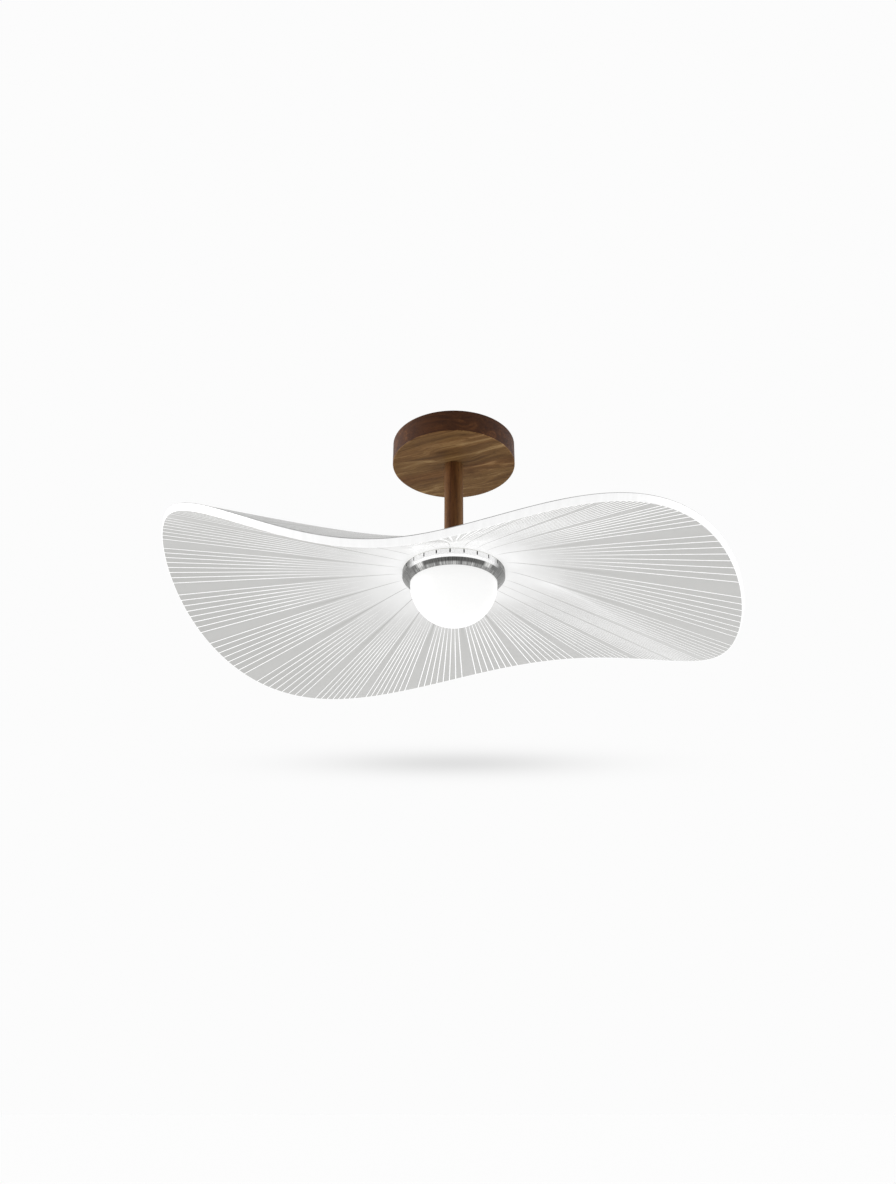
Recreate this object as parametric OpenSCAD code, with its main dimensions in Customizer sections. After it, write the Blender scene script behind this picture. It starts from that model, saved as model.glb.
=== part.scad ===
// Semi-flush ceiling light: a walnut canopy and stem carry a wavy, edge-lit acrylic shade
// round a metal hub with a twist-on opal dome. Millimetres, +Z up, ceiling at z = 0.

/* [Canopy] */
// Outer diameter of the wooden canopy
canopy_d = 125; // [120:1:160]
// Height of the canopy below the ceiling
canopy_h = 24; // [23:1:32]
// Thickness of the canopy's side wall
canopy_wall = 7.5; // [5:0.5:9]
// Thickness of the canopy's floor
canopy_floor = 7; // [6:0.5:8]
// Rounding of the canopy's lower outer edge
canopy_edge_r = 0.8; // [0.3:0.1:2]
// Depth of the stem's seat in the canopy's floor
stem_seat = 3; // [1:0.5:4]

/* [Ceiling bracket] */
// Width of the steel crossbar
bracket_w = 22; // [18:1:24]
// Thickness of the steel crossbar
bracket_t = 2; // [1.5:0.1:2]
// Gap between the crossbar's ears and the canopy's wall
ear_gap = 2; // [1.6:0.1:3]
// Width of the bent ears
ear_w = 14; // [10:1:16]
// Distance from the ceiling to the end of an ear
ear_drop = 14; // [13:0.5:15]
// Distance from the ceiling to the canopy's side screws
side_screw_drop = 9; // [8:0.5:10]
// Inner radius of the bends
bend_r = 2; // [1:0.5:3]
// Distance between the middles of the two ceiling slots
slot_spacing = 72; // [66:1:74]
// End-to-end length of a ceiling slot
slot_len = 24; // [10:1:26]
// Width of a ceiling slot
slot_w = 5.5; // [4.5:0.1:6.5]
// Diameter of the hole for the supply wires
wire_hole_d = 12; // [8:1:14]
// Distance from that hole's edge to the earthing screw
earth_screw_off = 9; // [7:1:11]
// Diameter of the side screws and of the earthing screw
side_screw_d = 4; // [3:0.5:5]
// Length of a side screw that stands in past the ear
side_screw_proud = 2.5; // [1:0.5:4]
// Depth of a side screw's end below the canopy's outside
side_screw_sink = 0.6; // [0.2:0.1:2]

/* [Stem and tube] */
// Diameter of the wooden stem
stem_d = 19; // [16:0.5:25]
// Length of the stem between the canopy and the cup
stem_len = 96.5; // [60:0.5:300]
// Outer diameter of the threaded tube
tube_d = 10; // [8:1:12]
// Bore of the threaded tube
tube_bore = 6.8; // [5:0.2:7.4]
// Length of tube that stands out past a nut
tube_proud = 1; // [0.5:0.5:2]
// Width across flats of the lock nuts
nut_af = 14; // [13:0.5:16]
// Height of a lock nut
nut_h = 4; // [3:0.5:5]
// Outer diameter of the washers
washer_d = 19; // [16:1:20]
// Thickness of the washers
washer_t = 1.2; // [0.8:0.1:1.6]
// Outer diameter of the lead inside the tube
lead_d = 3.6; // [2.4:0.2:4]
// Radius of the lead's bend into the tube
lead_bend_r = 5; // [4:0.5:6]
// Length of the gland where the lead leaves the driver
gland_len = 2; // [1:0.5:4]

/* [Supply parts in the canopy] */
// Length of the driver's case
driver_l = 52; // [40:1:56]
// Width of the driver's case
driver_w = 28; // [22:1:30]
// Height of the driver's case
driver_h = 12.5; // [12:0.5:13]
// Distance from the stem's axis to the driver's case
driver_y = 14; // [12.5:0.5:15]
// Length of the driver's fixing tabs
tab_l = 8; // [7:0.5:9]
// Width of the driver's fixing tabs
tab_w = 14; // [8:1:20]
// Height of the driver's lid
lid_h = 2; // [1:0.5:4]
// Distance between the poles of the terminal block
pole_pitch = 12; // [12:0.5:14]
// Width of the terminal block
block_w = 16; // [14:1:18]
// Height of the terminal block
block_h = 11; // [9:0.5:12]
// Distance from the stem's axis to the middle of the terminal block
block_y = 30; // [26:1:34]
// Diameter of a supply wire
wire_d = 2.2; // [1.6:0.1:2.6]
// Height of the supply wires over the canopy's floor
wire_rise = 4.5; // [4:0.1:5]
// Length of a terminal's brass barrel
clamp_len = 12; // [8:0.5:13]
// Diameter of a terminal's brass barrel
clamp_d = 3.8; // [3:0.1:4.2]
// Diameter of the screws into the canopy's floor
floor_screw_d = 2.8; // [2:0.1:3.4]
// Length of the screws into the canopy's floor
floor_screw_len = 7; // [5:0.5:8]
// Thickness of plastic under the heads of these screws
floor_screw_grip = 2; // [1.5:0.1:2.5]
// Diameter of a small screw's head
pan_d = 5.6; // [5:0.1:6]
// Height of a small screw's head
pan_h = 1.8; // [1.4:0.1:2.2]

/* [Shade] */
// Diameter of the flat acrylic disc before it is formed
shade_d = 552; // [400:2:800]
// Thickness of the acrylic
shade_t = 8; // [5:0.5:10]
// Chamfer round the rim of the acrylic
shade_edge = 0.6; // [0.2:0.1:1.5]
// Radius over which the flat centre turns into the straight rulings
blend_r = 10; // [4:1:30]
// Mean drop of the rim below the flat centre
rim_drop = 44.5; // [0:0.5:60]
// Heights of the rim waves with one, two, three and four crests
wave_height = [33, 13.5, 30.5, 4.8]; // [0:0.1:40]
// Direction of the first crest of each rim wave, counter-clockwise from +X
wave_crest = [110, 31, 71.7, 31.2]; // [0:0.1:360]

/* [Hub] */
// Width of the ring's cone, from the dome's lip out to the flat centre of the shade
cone_w = 6.4; // [4:0.1:20]
// Height of the ring's slotted wall
ring_wall_h = 5.5; // [4:0.5:9]
// Thickness of the ring's slotted wall
ring_wall_t = 1.6; // [1:0.1:2.5]
// Thickness of the ring's flange
ring_flange_t = 1.5; // [1:0.1:2.5]
// Height of the ring's cone below the slotted wall
cone_h = 7.5; // [6.5:0.5:12]
// Width of the flat land at the bottom of the cone
cone_land = 1.1; // [0.6:0.1:2]
// Number of slots, LEDs at the bore and bundles of light lines
beam_count = 24; // [12:1:30]
// Direction of the first slot, counter-clockwise from +X
beam_start = 11; // [0:1:30]
// Width of a slot in the ring
ring_slot_w = 1.2; // [0.8:0.1:2]
// Gap between the LED carrier's outside and the inside of the dome's neck
carrier_gap = 0.8; // [0.5:0.1:2]
// Wall thickness of the LED carrier
carrier_wall = 6; // [5.7:0.1:8]
// Thickness of the carrier's web
web_t = 3; // [2:0.5:5]
// Height of the cup above the shade's gasket
cup_h = 17; // [15:0.5:40]
// Distance from the ring's outside in to the cup's flange
cup_inset = 2; // [1:0.5:4]
// Width of the cup's flange outside its wall
cup_flange_w = 4; // [2:0.5:5]
// Wall thickness of the cup
cup_wall = 1.5; // [1:0.1:2.5]
// Thickness of the cup's top
cup_top_t = 2; // [1.5:0.1:3]
// Outer radius of the cup's shoulder
cup_shoulder_r = 6; // [2:0.5:8]
// Diameter of the screws from the trim ring into the carrier
trim_screw_d = 3; // [2:0.1:3]
// Length of these screws
trim_screw_len = 10; // [6:0.5:14]
// Thickness of the gaskets
gasket_t = 0.8; // [0.5:0.1:2]

/* [Light boards] */
// Width of the flexible LED strip
strip_w = 8; // [5:0.5:8]
// Thickness of the flexible LED strip
strip_t = 0.4; // [0.2:0.1:0.8]
// Length, width and height of one LED
led_size = [3.5, 2.8, 0.7]; // [0.5:0.1:4]
// Gap between the LEDs and the bore of the shade
light_gap = 0.8; // [0.4:0.1:2]
// Thickness of the round light board
board_t = 1.6; // [1:0.1:2]
// Depth of the round light board's seat in the carrier
board_recess = 3; // [3:0.1:5]
// Reach of the three pads that the round board is screwed to
pad_w = 6; // [5:0.5:8]
// Thickness of the pads
pad_t = 3; // [2:0.1:4]
// Angle that each pad covers
pad_angle = 24; // [20:1:40]
// Diameter of the board's screws
board_screw_d = 2.5; // [2:0.1:2.5]
// Diameter of the heads of the board's screws
board_head_d = 4.4; // [3.6:0.1:4.6]
// Distance from the board's edge to the middle of a screw
board_screw_in = 2.5; // [2.3:0.1:3.5]
// Numbers of LEDs on the two circles of the round board
board_led_counts = [6, 12]; // [3:1:16]
// Radii of these two circles
board_led_radii = [9, 18]; // [8:0.5:22]

/* [Dome] */
// Outer diameter of the opal dome
dome_d = 84.4; // [76:0.2:100]
// Wall thickness of the dome
dome_t = 2; // [1.2:0.1:3]
// Wall thickness of the dome's neck
neck_t = 2.2; // [1.4:0.1:2.4]
// Step from the dome's outside in to its neck
neck_step = 3.2; // [3:0.1:4]
// Width of the bayonet lugs, out from the neck
lug_out = 2.6; // [1.6:0.1:2.8]
// Height of a bayonet lug
lug_h = 2; // [1.2:0.1:2.2]
// Height of the dome's shoulder under the bayonet shelf
shoulder_h = 1.7; // [1.2:0.1:2.2]
// Gap between the top of the neck and the ring's flange
neck_drop = 0.6; // [0.4:0.1:1]
// Angle that a bayonet lug spans
lug_angle = 16; // [8:1:24]
// Number of bayonet lugs
lug_count = 3; // [2:1:4]
// Angle that the dome turns to open
twist = 30; // [25:1:45]
// Thickness of the bayonet shelf in the ring
shelf_t = 1.5; // [1:0.1:2]
// Angle that a stop in the ring spans
stop_angle = 3; // [2:0.5:5]
// Width of the groove in which the lugs turn, out from the lugs
groove_gap = 1.4; // [0.6:0.1:1.6]
// How far a stop reaches in past the lugs' outer ends
stop_reach = 1.4; // [0.8:0.1:2]

/* [Fits] */
// Clearance round parts that slide together
fit_gap = 0.3; // [0.2:0.05:0.5]
// Clearance round the stem in its seat
seat_gap = 0.15; // [0.05:0.05:0.3]
// Clearance round screws and tube in their threads
thread_gap = 0.05; // [0.02:0.01:0.1]

/* [Hidden] */
$fn = 96;
// A cut reaches this far past the face that it opens
past = 0.5;

// Canopy and bracket
canopy_r = canopy_d / 2;
canopy_in_r = canopy_r - canopy_wall;
floor_z = canopy_floor - canopy_h;
ear_x = canopy_in_r - ear_gap;
side_screw_r = side_screw_d / 2;
side_screw_len = canopy_wall - side_screw_sink + ear_gap + bracket_t + side_screw_proud;
socket_af = side_screw_r;
earth_screw_x = -(wire_hole_d / 2 + earth_screw_off);

// Parts on the canopy's floor
floor_screw_r = floor_screw_d / 2;
pan_r = pan_d / 2;
block_l = 3 * pole_pitch;
block_screw_x = pole_pitch / 2;
driver_screw_x = driver_l / 2 + tab_l / 2;
driver_mid_y = driver_y + driver_w / 2;
wire_z = floor_z + wire_rise;
clamp_r = clamp_d / 2;
clamp_screw_r = 1.6;
clamp_screw_sink = 0.8;
well_r = clamp_screw_r + 0.7;

// Stack on the tube, from the canopy down to the dome
tube_r = tube_d / 2;
stem_top = stem_seat - canopy_h;
cup_top = -canopy_h - stem_len;
cup_rim = cup_top - cup_h;
shade_top = cup_rim - gasket_t;
shade_under = shade_top - shade_t;
ring_top = shade_under - gasket_t;
ring_z = ring_top - ring_wall_h;
cup_nut_z = cup_top - cup_top_t - washer_t - nut_h;
web_top = cup_nut_z;
web_under = web_top - web_t;
carrier_nut_z = web_under - washer_t - nut_h;
tube_top = floor_z + washer_t + nut_h + tube_proud;
tube_bottom = carrier_nut_z - tube_proud;
nut_seats = [floor_z + washer_t, cup_nut_z, carrier_nut_z];
washer_seats = [floor_z, cup_top - cup_top_t - washer_t, web_under - washer_t];
// The lead leaves the driver above the tube, so its bend ends at the tube's mouth
lead_z = tube_top + lead_bend_r;

// Dome, and the trim ring round it
dome_r = dome_d / 2;
neck_r = dome_r - neck_step;
neck_in_r = neck_r - neck_t;
lip_r = dome_r + fit_gap;
cone_r = lip_r + cone_land;
ring_r = cone_r + cone_w;
trim_screw_r = trim_screw_d / 2;
lug_r = neck_r + lug_out;
neck_base = ring_z - cone_h;
shoulder_top = neck_base + shoulder_h;
shelf_under = shoulder_top + fit_gap;
shelf_top = shelf_under + shelf_t;
lug_z = shelf_top + fit_gap;
neck_top = ring_z - neck_drop;
shelf_r = neck_r + fit_gap;
groove_r = lug_r + groove_gap;
notch_angle = lug_angle + 3;
stop_gap = 0.6;

// Carrier and light boards
carrier_r = neck_in_r - carrier_gap;
carrier_in_r = carrier_r - carrier_wall;
carrier_under = ring_z + ring_flange_t;
trim_screw_at = carrier_r - carrier_wall / 2;
board_top = carrier_under + board_recess;
board_r = carrier_in_r - fit_gap;
board_screw_r = board_screw_d / 2;
board_screw_at = board_r - board_screw_in;
board_head_r = board_head_d / 2;
strip_in_r = carrier_r + thread_gap;
strip_out_r = strip_in_r + strip_t;
shade_bore_r = strip_out_r + led_size[2] + light_gap;

// Cup on top of the shade
cup_flange_r = ring_r - cup_inset;
cup_r = cup_flange_r - cup_flange_w;
cup_in_r = cup_r - cup_wall;

// Shade: span of the formed part, and how many steps draw it
span = shade_d / 2 - ring_r;
blend = blend_r / span;
azimuths = 120;
stations = [0, 0.02, 0.05, 0.1, 0.2, 0.4, 0.7];

// Height of the rim over its flat centre at azimuth a, and its slope per radian
function wave(a) = -rim_drop + sum([for (n = [1:len(wave_height)])
  wave_height[n - 1] * cos(n * (a - wave_crest[n - 1]))]);
function wave_slope(a) = -sum([for (n = [1:len(wave_height)])
  n * wave_height[n - 1] * sin(n * (a - wave_crest[n - 1]))]);
function sum(v) = v * [for (x = v) 1];

// Share of the rim's height at the share u of the span: flat at first, then straight
blend_norm = sqrt(1 + blend * blend) - blend;
function rise(u) = (sqrt(u * u + blend * blend) - blend) / blend_norm;
function rise_slope(u) = u / sqrt(u * u + blend * blend) / blend_norm;
// How much of the acrylic's length the slope takes up by the share u
function taken(u) = (u - blend * atan(u / blend) * PI / 180) / (blend_norm * blend_norm);

// Radius seen from below, a point of the underside, and the normal there
function plan_r(u, a) = ring_r + span * (u - pow(wave(a) / span, 2) * taken(u) / 2);
function around(r, t, a) = [r * cos(a) - t * sin(a), r * sin(a) + t * cos(a)];
function under(u, a) = concat(around(plan_r(u, a), 0, a), shade_under + wave(a) * rise(u));
function out_step(u, a) = span * (1 - pow(wave(a) * rise_slope(u) / span, 2) / 2);
function turn_step(u, a) = -wave(a) * wave_slope(a) * taken(u) / span;
function raw_normal(u, a) = [
  -wave(a) * rise_slope(u) * plan_r(u, a),
  wave(a) * rise_slope(u) * turn_step(u, a) - out_step(u, a) * wave_slope(a) * rise(u),
  out_step(u, a) * plan_r(u, a)];
function local_normal(u, a) = raw_normal(u, a) / norm(raw_normal(u, a));
function normal(u, a) = let (n = local_normal(u, a)) concat(around(n[0], n[1], a), n[2]);
function skin(u, a, depth) = under(u, a) + depth * normal(u, a);

// One section through the acrylic: underside out, round the rim, and back over the top
edge_u = 1 - shade_edge / span;
function section(a) = concat(
  [concat(around(shade_bore_r, 0, a), shade_under)],
  [for (u = stations) under(u, a)],
  [under(edge_u, a), skin(1, a, shade_edge), skin(1, a, shade_t - shade_edge),
    skin(edge_u, a, shade_t)],
  [for (i = [len(stations) - 1:-1:0]) skin(stations[i], a, shade_t)],
  [concat(around(shade_bore_r, 0, a), shade_top)]);

module ring(outer, inner, height) {
  difference() {
    cylinder(r = outer, h = height);
    translate([0, 0, -past]) cylinder(r = inner, h = height + 2 * past);
  }
}

// Part of a flat ring from angle `from` on, over the angle `sweep`
module ring_sector(outer, inner, height, from, sweep) {
  rotate(from) rotate_extrude(angle = sweep) translate([inner, 0]) square([outer - inner, height]);
}

module around_axis(count, start = 0) {
  for (k = [0:count - 1]) rotate(start + k * 360 / count) children();
}

// Slot along X with round ends, centred on the origin
module slot_cut(len, width, height) {
  translate([-(len - width) / 2, -width / 2, 0]) cube([len - width, width, height]);
  for (side = [-1, 1]) translate([side * (len - width) / 2, 0, 0]) {
    cylinder(d = width, h = height, $fn = 32);
  }
}

// Upright screw with a rounded head above z = 0 and its shank below
module pan_screw(shank_r, shank_len, head_r, head_h) {
  difference() {
    union() {
      translate([0, 0, -shank_len]) cylinder(r = shank_r, h = shank_len + past, $fn = 32);
      cylinder(r = head_r, h = head_h * 0.6, $fn = 48);
      translate([0, 0, head_h * 0.6]) {
        cylinder(r1 = head_r, r2 = head_r * 0.7, h = head_h * 0.4, $fn = 48);
      }
    }
    for (turn = [0, 90]) rotate(turn) {
      translate([-head_r * 0.6, -head_r * 0.12, head_h * 0.5]) {
        cube([head_r * 1.2, head_r * 0.24, head_h]);
      }
    }
  }
}

// Hexagon nut with its corners turned off at both ends
module hex_nut(across_flats, height, bore_r) {
  corner_r = across_flats / sqrt(3);
  flat_r = across_flats / 2;
  chamfer = (corner_r - flat_r) * 0.8;
  difference() {
    intersection() {
      cylinder(r = corner_r, h = height, $fn = 6);
      rotate_extrude() polygon([[0, 0], [flat_r, 0], [corner_r, chamfer],
        [corner_r, height - chamfer], [flat_r, height], [0, height]]);
    }
    translate([0, 0, -past]) cylinder(r = bore_r, h = height + 2 * past);
  }
}

// Half of the crossbar's outline in the XZ plane: bar, bend and ear
module bracket_half() {
  outer_r = bend_r + bracket_t;
  translate([0, -bracket_t]) square([ear_x - outer_r, bracket_t]);
  translate([ear_x - bracket_t, -ear_drop]) square([bracket_t, ear_drop - outer_r]);
  translate([ear_x - outer_r, -outer_r]) intersection() {
    difference() {
      circle(r = outer_r, $fn = 48);
      circle(r = bend_r, $fn = 48);
    }
    square(outer_r);
  }
}

module ceiling_bracket() {
  bar_len = 2 * (ear_x - bend_r - bracket_t);
  color("silver") difference() {
    union() {
      translate([-bar_len / 2, -bracket_w / 2, -bracket_t]) cube([bar_len, bracket_w, bracket_t]);
      for (side = [0, 180]) rotate(side) translate([0, ear_w / 2, 0]) rotate([90, 0, 0]) {
        linear_extrude(ear_w) bracket_half();
      }
    }
    for (side = [-1, 1]) translate([side * slot_spacing / 2, 0, -bracket_t - past]) {
      slot_cut(slot_len, slot_w, bracket_t + 2 * past);
    }
    translate([0, 0, -bracket_t - past]) cylinder(d = wire_hole_d, h = bracket_t + 2 * past);
    translate([earth_screw_x, 0, -bracket_t - past]) {
      cylinder(r = side_screw_r + thread_gap, h = bracket_t + 2 * past, $fn = 32);
    }
    translate([-ear_x - past, 0, -side_screw_drop]) rotate([0, 90, 0]) {
      cylinder(r = side_screw_r + thread_gap, h = 2 * (ear_x + past), $fn = 32);
    }
  }
}

module earth_screw() {
  color("gold") translate([earth_screw_x, 0, -bracket_t]) rotate([180, 0, 0]) {
    pan_screw(side_screw_r, bracket_t - 0.3, pan_r + 0.7, pan_h);
  }
}

module canopy_outside() {
  translate([0, -canopy_h + canopy_edge_r]) square([canopy_r, canopy_h - canopy_edge_r]);
  translate([0, -canopy_h]) square([canopy_r - canopy_edge_r, canopy_edge_r]);
  translate([canopy_r - canopy_edge_r, -canopy_h + canopy_edge_r]) {
    circle(r = canopy_edge_r, $fn = 32);
  }
}

module floor_screw_places() {
  for (side = [-1, 1]) {
    translate([side * driver_screw_x, driver_mid_y, floor_z]) children();
    translate([side * block_screw_x, -block_y, floor_z]) children();
  }
}

module canopy() {
  color([0.40, 0.28, 0.19]) difference() {
    rotate_extrude() canopy_outside();
    translate([0, 0, floor_z]) cylinder(r = canopy_in_r, h = canopy_h + past);
    translate([0, 0, -canopy_h - past]) cylinder(r = stem_d / 2 + seat_gap, h = stem_seat + past);
    translate([0, 0, -canopy_h]) cylinder(r = tube_r + fit_gap, h = canopy_h);
    translate([-canopy_r - past, 0, -side_screw_drop]) rotate([0, 90, 0]) {
      cylinder(r = side_screw_r + fit_gap, h = canopy_d + 2 * past, $fn = 32);
    }
    floor_screw_places() translate([0, 0, -(floor_screw_len - floor_screw_grip) - thread_gap]) {
      cylinder(r = floor_screw_r + thread_gap, h = canopy_floor, $fn = 32);
    }
  }
}

// Set screw along X that starts at the origin, with a hexagon socket in its far end
module set_screw() {
  rotate([0, 90, 0]) difference() {
    cylinder(r = side_screw_r, h = side_screw_len, $fn = 32);
    translate([0, 0, side_screw_len - socket_af]) {
      cylinder(d = socket_af * 2 / sqrt(3), h = socket_af + past, $fn = 6);
    }
  }
}

module canopy_screws() {
  start_x = canopy_r - side_screw_sink - side_screw_len;
  color("dimgray") for (side = [0, 180]) rotate(side) {
    translate([start_x, 0, -side_screw_drop]) set_screw();
  }
}

// The two screws of each of the three poles, from the middle of the terminal block
module pole_screw_places() {
  for (pole = [-1:1], side = [-1, 1]) {
    translate([pole * pole_pitch, side * clamp_len * 0.3, 0]) children();
  }
}

module terminal_block() {
  well_wall = 1;
  color("white") translate([0, -block_y, floor_z]) difference() {
    union() {
      translate([-block_l / 2, -block_w / 2, 0]) cube([block_l, block_w, block_h * 0.7]);
      pole_screw_places() cylinder(r = well_r + well_wall, h = block_h);
    }
    for (pole = [-1:1]) {
      translate([pole * pole_pitch, block_w / 2 + past, wire_rise]) rotate([90, 0, 0]) {
        cylinder(r = clamp_r + thread_gap, h = block_w + 2 * past, $fn = 32);
      }
    }
    pole_screw_places() translate([0, 0, wire_rise]) cylinder(r = well_r, h = block_h, $fn = 32);
    for (side = [-1, 1]) translate([side * block_screw_x, 0, -past]) {
      cylinder(r = floor_screw_r + thread_gap, h = block_h, $fn = 32);
      translate([0, 0, past + floor_screw_grip]) cylinder(r = pan_r + thread_gap, h = block_h);
    }
  }
}

module terminal_clamps() {
  screw_h = block_h - wire_rise - clamp_screw_sink;
  color("gold") translate([0, -block_y, wire_z]) {
    for (pole = [-1:1]) translate([pole * pole_pitch, 0, 0]) rotate([90, 0, 0]) {
      cylinder(r = clamp_r, h = clamp_len, center = true, $fn = 32);
    }
    pole_screw_places() difference() {
      cylinder(r = clamp_screw_r, h = screw_h, $fn = 32);
      translate([-clamp_screw_r - past, -0.25, screw_h - 0.8]) {
        cube([2 * (clamp_screw_r + past), 0.5, 0.8 + past]);
      }
    }
  }
}

// Flat plate with four round corners, centred on the origin
module round_plate(len, width, corner) {
  square([len - 2 * corner, width], center = true);
  square([len, width - 2 * corner], center = true);
  for (x = [-1, 1], y = [-1, 1]) {
    translate([x * (len / 2 - corner), y * (width / 2 - corner)]) circle(r = corner, $fn = 32);
  }
}

module led_driver() {
  color("whitesmoke") difference() {
    translate([0, driver_mid_y, floor_z]) union() {
      linear_extrude(driver_h - lid_h) round_plate(driver_l, driver_w, 3);
      translate([0, 0, driver_h - lid_h]) linear_extrude(lid_h) {
        round_plate(driver_l - 1, driver_w - 1, 2.5);
      }
      linear_extrude(floor_screw_grip) round_plate(driver_l + 2 * tab_l, tab_w, 3);
      translate([0, -driver_w / 2 + 1, lead_z - floor_z]) rotate([90, 0, 0]) {
        cylinder(d = lead_d + 2.4, h = gland_len + 1, $fn = 32);
      }
    }
    for (side = [-1, 1]) translate([side * driver_screw_x, driver_mid_y, floor_z - past]) {
      cylinder(r = floor_screw_r + thread_gap, h = floor_screw_grip + 2 * past, $fn = 32);
    }
  }
}

module floor_screws() {
  color("gainsboro") floor_screw_places() translate([0, 0, floor_screw_grip]) {
    pan_screw(floor_screw_r, floor_screw_len, pan_r, pan_h);
  }
}

module line_wires() {
  start_y = -block_y + clamp_len / 2;
  color("royalblue") for (side = [-1, 1]) translate([side * pole_pitch, driver_y, wire_z]) {
    rotate([90, 0, 0]) cylinder(d = wire_d, h = driver_y - start_y, $fn = 24);
  }
}

module supply_lead() {
  color("dimgray") {
    translate([0, driver_y - gland_len, lead_z]) rotate([90, 0, 0]) {
      cylinder(d = lead_d, h = driver_y - gland_len - lead_bend_r, $fn = 32);
    }
    translate([0, lead_bend_r, tube_top]) rotate([90, 0, -90]) rotate_extrude(angle = 90) {
      translate([lead_bend_r, 0]) circle(d = lead_d, $fn = 32);
    }
    translate([0, 0, board_top]) cylinder(d = lead_d, h = tube_top - board_top, $fn = 32);
  }
}

module threaded_tube() {
  end_chamfer = 0.5;
  color("goldenrod") translate([0, 0, tube_bottom]) rotate_extrude() {
    polygon([[tube_bore / 2, 0], [tube_r - end_chamfer, 0], [tube_r, end_chamfer],
      [tube_r, tube_top - tube_bottom - end_chamfer],
      [tube_r - end_chamfer, tube_top - tube_bottom], [tube_bore / 2, tube_top - tube_bottom]]);
  }
}

module tube_nuts() {
  color("gold") for (z = nut_seats) translate([0, 0, z]) {
    hex_nut(nut_af, nut_h, tube_r + thread_gap);
  }
}

module tube_washers() {
  color("silver") for (z = washer_seats) translate([0, 0, z]) {
    ring(washer_d / 2, tube_r + fit_gap, washer_t);
  }
}

module stem() {
  color([0.36, 0.24, 0.16]) translate([0, 0, cup_top]) {
    ring(stem_d / 2, tube_r + fit_gap, stem_top - cup_top);
  }
}

// Half section of the cup's outside, from its axis to its shoulder
module cup_outside() {
  translate([0, cup_rim]) square([cup_r, cup_h - cup_shoulder_r]);
  translate([0, cup_top - cup_shoulder_r]) square([cup_r - cup_shoulder_r, cup_shoulder_r]);
  translate([cup_r - cup_shoulder_r, cup_top - cup_shoulder_r]) {
    circle(r = cup_shoulder_r, $fn = 64);
  }
  translate([0, cup_rim]) square([cup_flange_r, cup_wall]);
}

module cup_inside() {
  corner = cup_shoulder_r - cup_wall;
  translate([0, cup_rim - past]) square([cup_in_r, cup_h + past - cup_top_t - corner]);
  translate([0, cup_top - cup_top_t - corner]) square([cup_in_r - corner, corner]);
  translate([cup_in_r - corner, cup_top - cup_top_t - corner]) circle(r = corner, $fn = 64);
}

module upper_cup() {
  color("silver") difference() {
    rotate_extrude() difference() {
      cup_outside();
      cup_inside();
    }
    translate([0, 0, cup_top - cup_top_t - past]) {
      cylinder(r = tube_r + fit_gap, h = cup_top_t + 2 * past);
    }
  }
}

module upper_gasket() {
  color("lightgray") translate([0, 0, shade_top]) {
    ring(cup_flange_r - fit_gap, cup_in_r, gasket_t);
  }
}

module shade() {
  loop = len(section(0));
  points = [for (i = [0:azimuths - 1]) each section(i * 360 / azimuths)];
  function at(i, j) = (i % azimuths) * loop + j % loop;
  faces = [for (i = [0:azimuths - 1], j = [0:loop - 1])
    each [[at(i, j), at(i, j + 1), at(i + 1, j + 1)], [at(i, j), at(i + 1, j + 1), at(i + 1, j)]]];
  color([0.82, 0.84, 0.85, 0.85]) polyhedron(points, faces);
}

module lower_gasket() {
  color("lightgray") translate([0, 0, ring_top]) {
    ring(ring_r - fit_gap, ring_r - ring_wall_t, gasket_t);
  }
}

// Tube under a web, with three pads inside for the round board
module led_carrier() {
  color("lightsteelblue") difference() {
    union() {
      translate([0, 0, carrier_under]) {
        ring(carrier_r, carrier_in_r, web_under - carrier_under);
      }
      translate([0, 0, web_under]) ring(carrier_r, tube_r + fit_gap, web_t);
      around_axis(3) translate([0, 0, board_top]) {
        ring_sector(carrier_r - 0.5, carrier_in_r - pad_w, pad_t, -pad_angle / 2, pad_angle);
      }
    }
    around_axis(3) {
      translate([trim_screw_at, 0, carrier_under - past]) {
        cylinder(r = trim_screw_r + thread_gap, h = trim_screw_len + past, $fn = 32);
      }
      translate([board_screw_at, 0, board_top - past]) {
        cylinder(r = board_screw_r + thread_gap, h = pad_t + 2 * past, $fn = 32);
      }
    }
  }
}

module led_strip() {
  strip_z = (shade_top + shade_under - strip_w) / 2;
  color("white") translate([0, 0, strip_z]) ring(strip_out_r, strip_in_r, strip_w);
}

module strip_leds() {
  color("lemonchiffon") around_axis(beam_count, beam_start + 180 / beam_count) {
    translate([strip_out_r, -led_size[0] / 2, (shade_top + shade_under - led_size[1]) / 2]) {
      cube([led_size[2], led_size[0], led_size[1]]);
    }
  }
}

// Half section of the trim ring: slotted wall, flange, cone, lip and bayonet shelf
module trim_section() {
  polygon([
    [carrier_in_r, ring_z], [carrier_in_r, ring_z + ring_flange_t],
    [ring_r - ring_wall_t, ring_z + ring_flange_t], [ring_r - ring_wall_t, ring_top],
    [ring_r, ring_top], [ring_r, ring_z],
    [cone_r, neck_base], [lip_r, neck_base], [lip_r, shelf_under], [shelf_r, shelf_under],
    [shelf_r, shelf_top], [groove_r, shelf_top],
    [groove_r + (ring_z - shelf_top) * 0.8, ring_z]]);
}

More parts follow.
